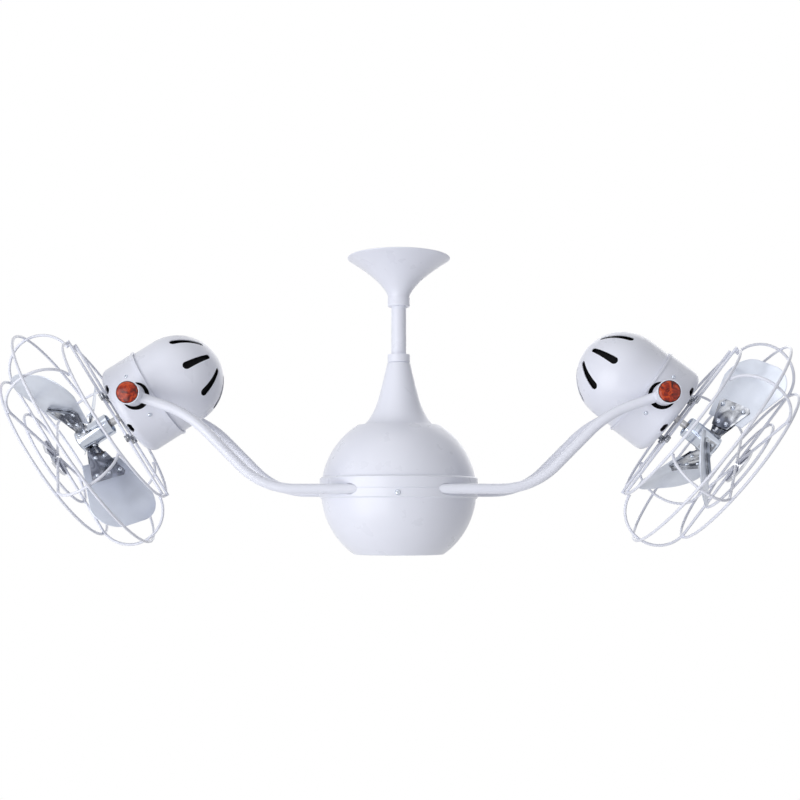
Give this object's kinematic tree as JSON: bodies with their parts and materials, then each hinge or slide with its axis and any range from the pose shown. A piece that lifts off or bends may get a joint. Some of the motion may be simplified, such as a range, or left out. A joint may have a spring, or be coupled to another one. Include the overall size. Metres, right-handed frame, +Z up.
{
  "type": "twin head ceiling fan",
  "caption": "Ceiling fan with caged tilting heads on arched pairs of arms from a freely turning ball, hung by a downrod under a trumpet canopy.",
  "frame": {"origin": "middle of the crossbar's two screw slots, on the ceiling plane", "axes": "+Z up towards the ceiling, +X towards the right head as seen from the front, -Y towards the viewer"},
  "size_m": [1.0619, 0.33, 0.4003],
  "materials": {
    "enamel": "gloss",
    "chrome": "polished",
    "bare_steel": "zinc plated",
    "blade_metal": "polished",
    "moulded": "matte",
    "stone": "polished",
    "bronze": "satin"
  },
  "bodies": {
    "hanger": {"ceiling_bracket": "bare_steel", "hanger_ball": "moulded", "hanger_pin": "bare_steel", "downrod": "enamel", "canopy": "enamel", "canopy_collar": "enamel", "rod_collar": "enamel", "neck_cone": "enamel", "coupling": "bare_steel", "coupling_bolt": "chrome", "spindle": "bare_steel", "retaining_nut": "chrome", "slip_rings": "bronze", "bearing_inner_races": "chrome"},
    "carousel": {"upper_shell": "enamel", "lower_shell": "enamel", "belt_screws": "chrome", "arm_carrier": "bare_steel", "arm_set_screws": "chrome", "left_front_arm": "enamel", "left_rear_arm": "enamel", "right_front_arm": "enamel", "right_rear_arm": "enamel", "bearing_outer_races": "chrome", "brush_block": "moulded", "hub_bezels": "enamel", "hub_stones": "stone"},
    "left_head": {"left_motor_drum": "enamel", "left_rear_dome": "enamel", "left_shell_screws": "chrome", "left_motor_frame": "bare_steel", "left_stator": "bare_steel", "left_motor_bushes": "bronze", "left_pivot_hardware": "chrome", "left_guard_ribs": "enamel", "left_guard_rings": "enamel", "left_guard_clamps": "chrome", "left_front_plate": "chrome"},
    "left_rotor": {"left_motor_rotor": "bare_steel", "left_blade_hub": "chrome", "left_blade_irons": "chrome", "left_blade_screws": "chrome", "left_blades": "blade_metal"},
    "right_head": {"right_motor_drum": "enamel", "right_rear_dome": "enamel", "right_shell_screws": "chrome", "right_motor_frame": "bare_steel", "right_stator": "bare_steel", "right_motor_bushes": "bronze", "right_pivot_hardware": "chrome", "right_guard_ribs": "enamel", "right_guard_rings": "enamel", "right_guard_clamps": "chrome", "right_front_plate": "chrome"},
    "right_rotor": {"right_motor_rotor": "bare_steel", "right_blade_hub": "chrome", "right_blade_irons": "chrome", "right_blade_screws": "chrome", "right_blades": "blade_metal"}
  },
  "joints": [
    {"name": "carousel_spin", "type": "hinge", "parent": "hanger", "child": "carousel", "pos_m": [0, 0, -0.3155], "axis": [0, 0, 1], "continuous": true},
    {"name": "left_tilt", "type": "hinge", "parent": "carousel", "child": "left_head", "pos_m": [-0.34075, 0, -0.19472], "axis": [0, -1, 0], "range_deg": [-122.6, 47.4]},
    {"name": "right_tilt", "type": "hinge", "parent": "carousel", "child": "right_head", "pos_m": [0.34075, 0, -0.19472], "axis": [0, 1, 0], "range_deg": [-128, 42]},
    {"name": "left_spin", "type": "hinge", "parent": "left_head", "child": "left_rotor", "pos_m": [-0.34075, 0, -0.19472], "axis": [-0.8425, 0, -0.5388], "continuous": true},
    {"name": "right_spin", "type": "hinge", "parent": "right_head", "child": "right_rotor", "pos_m": [0.34075, 0, -0.19472], "axis": [0.788, 0, -0.6157], "continuous": true}
  ]
}
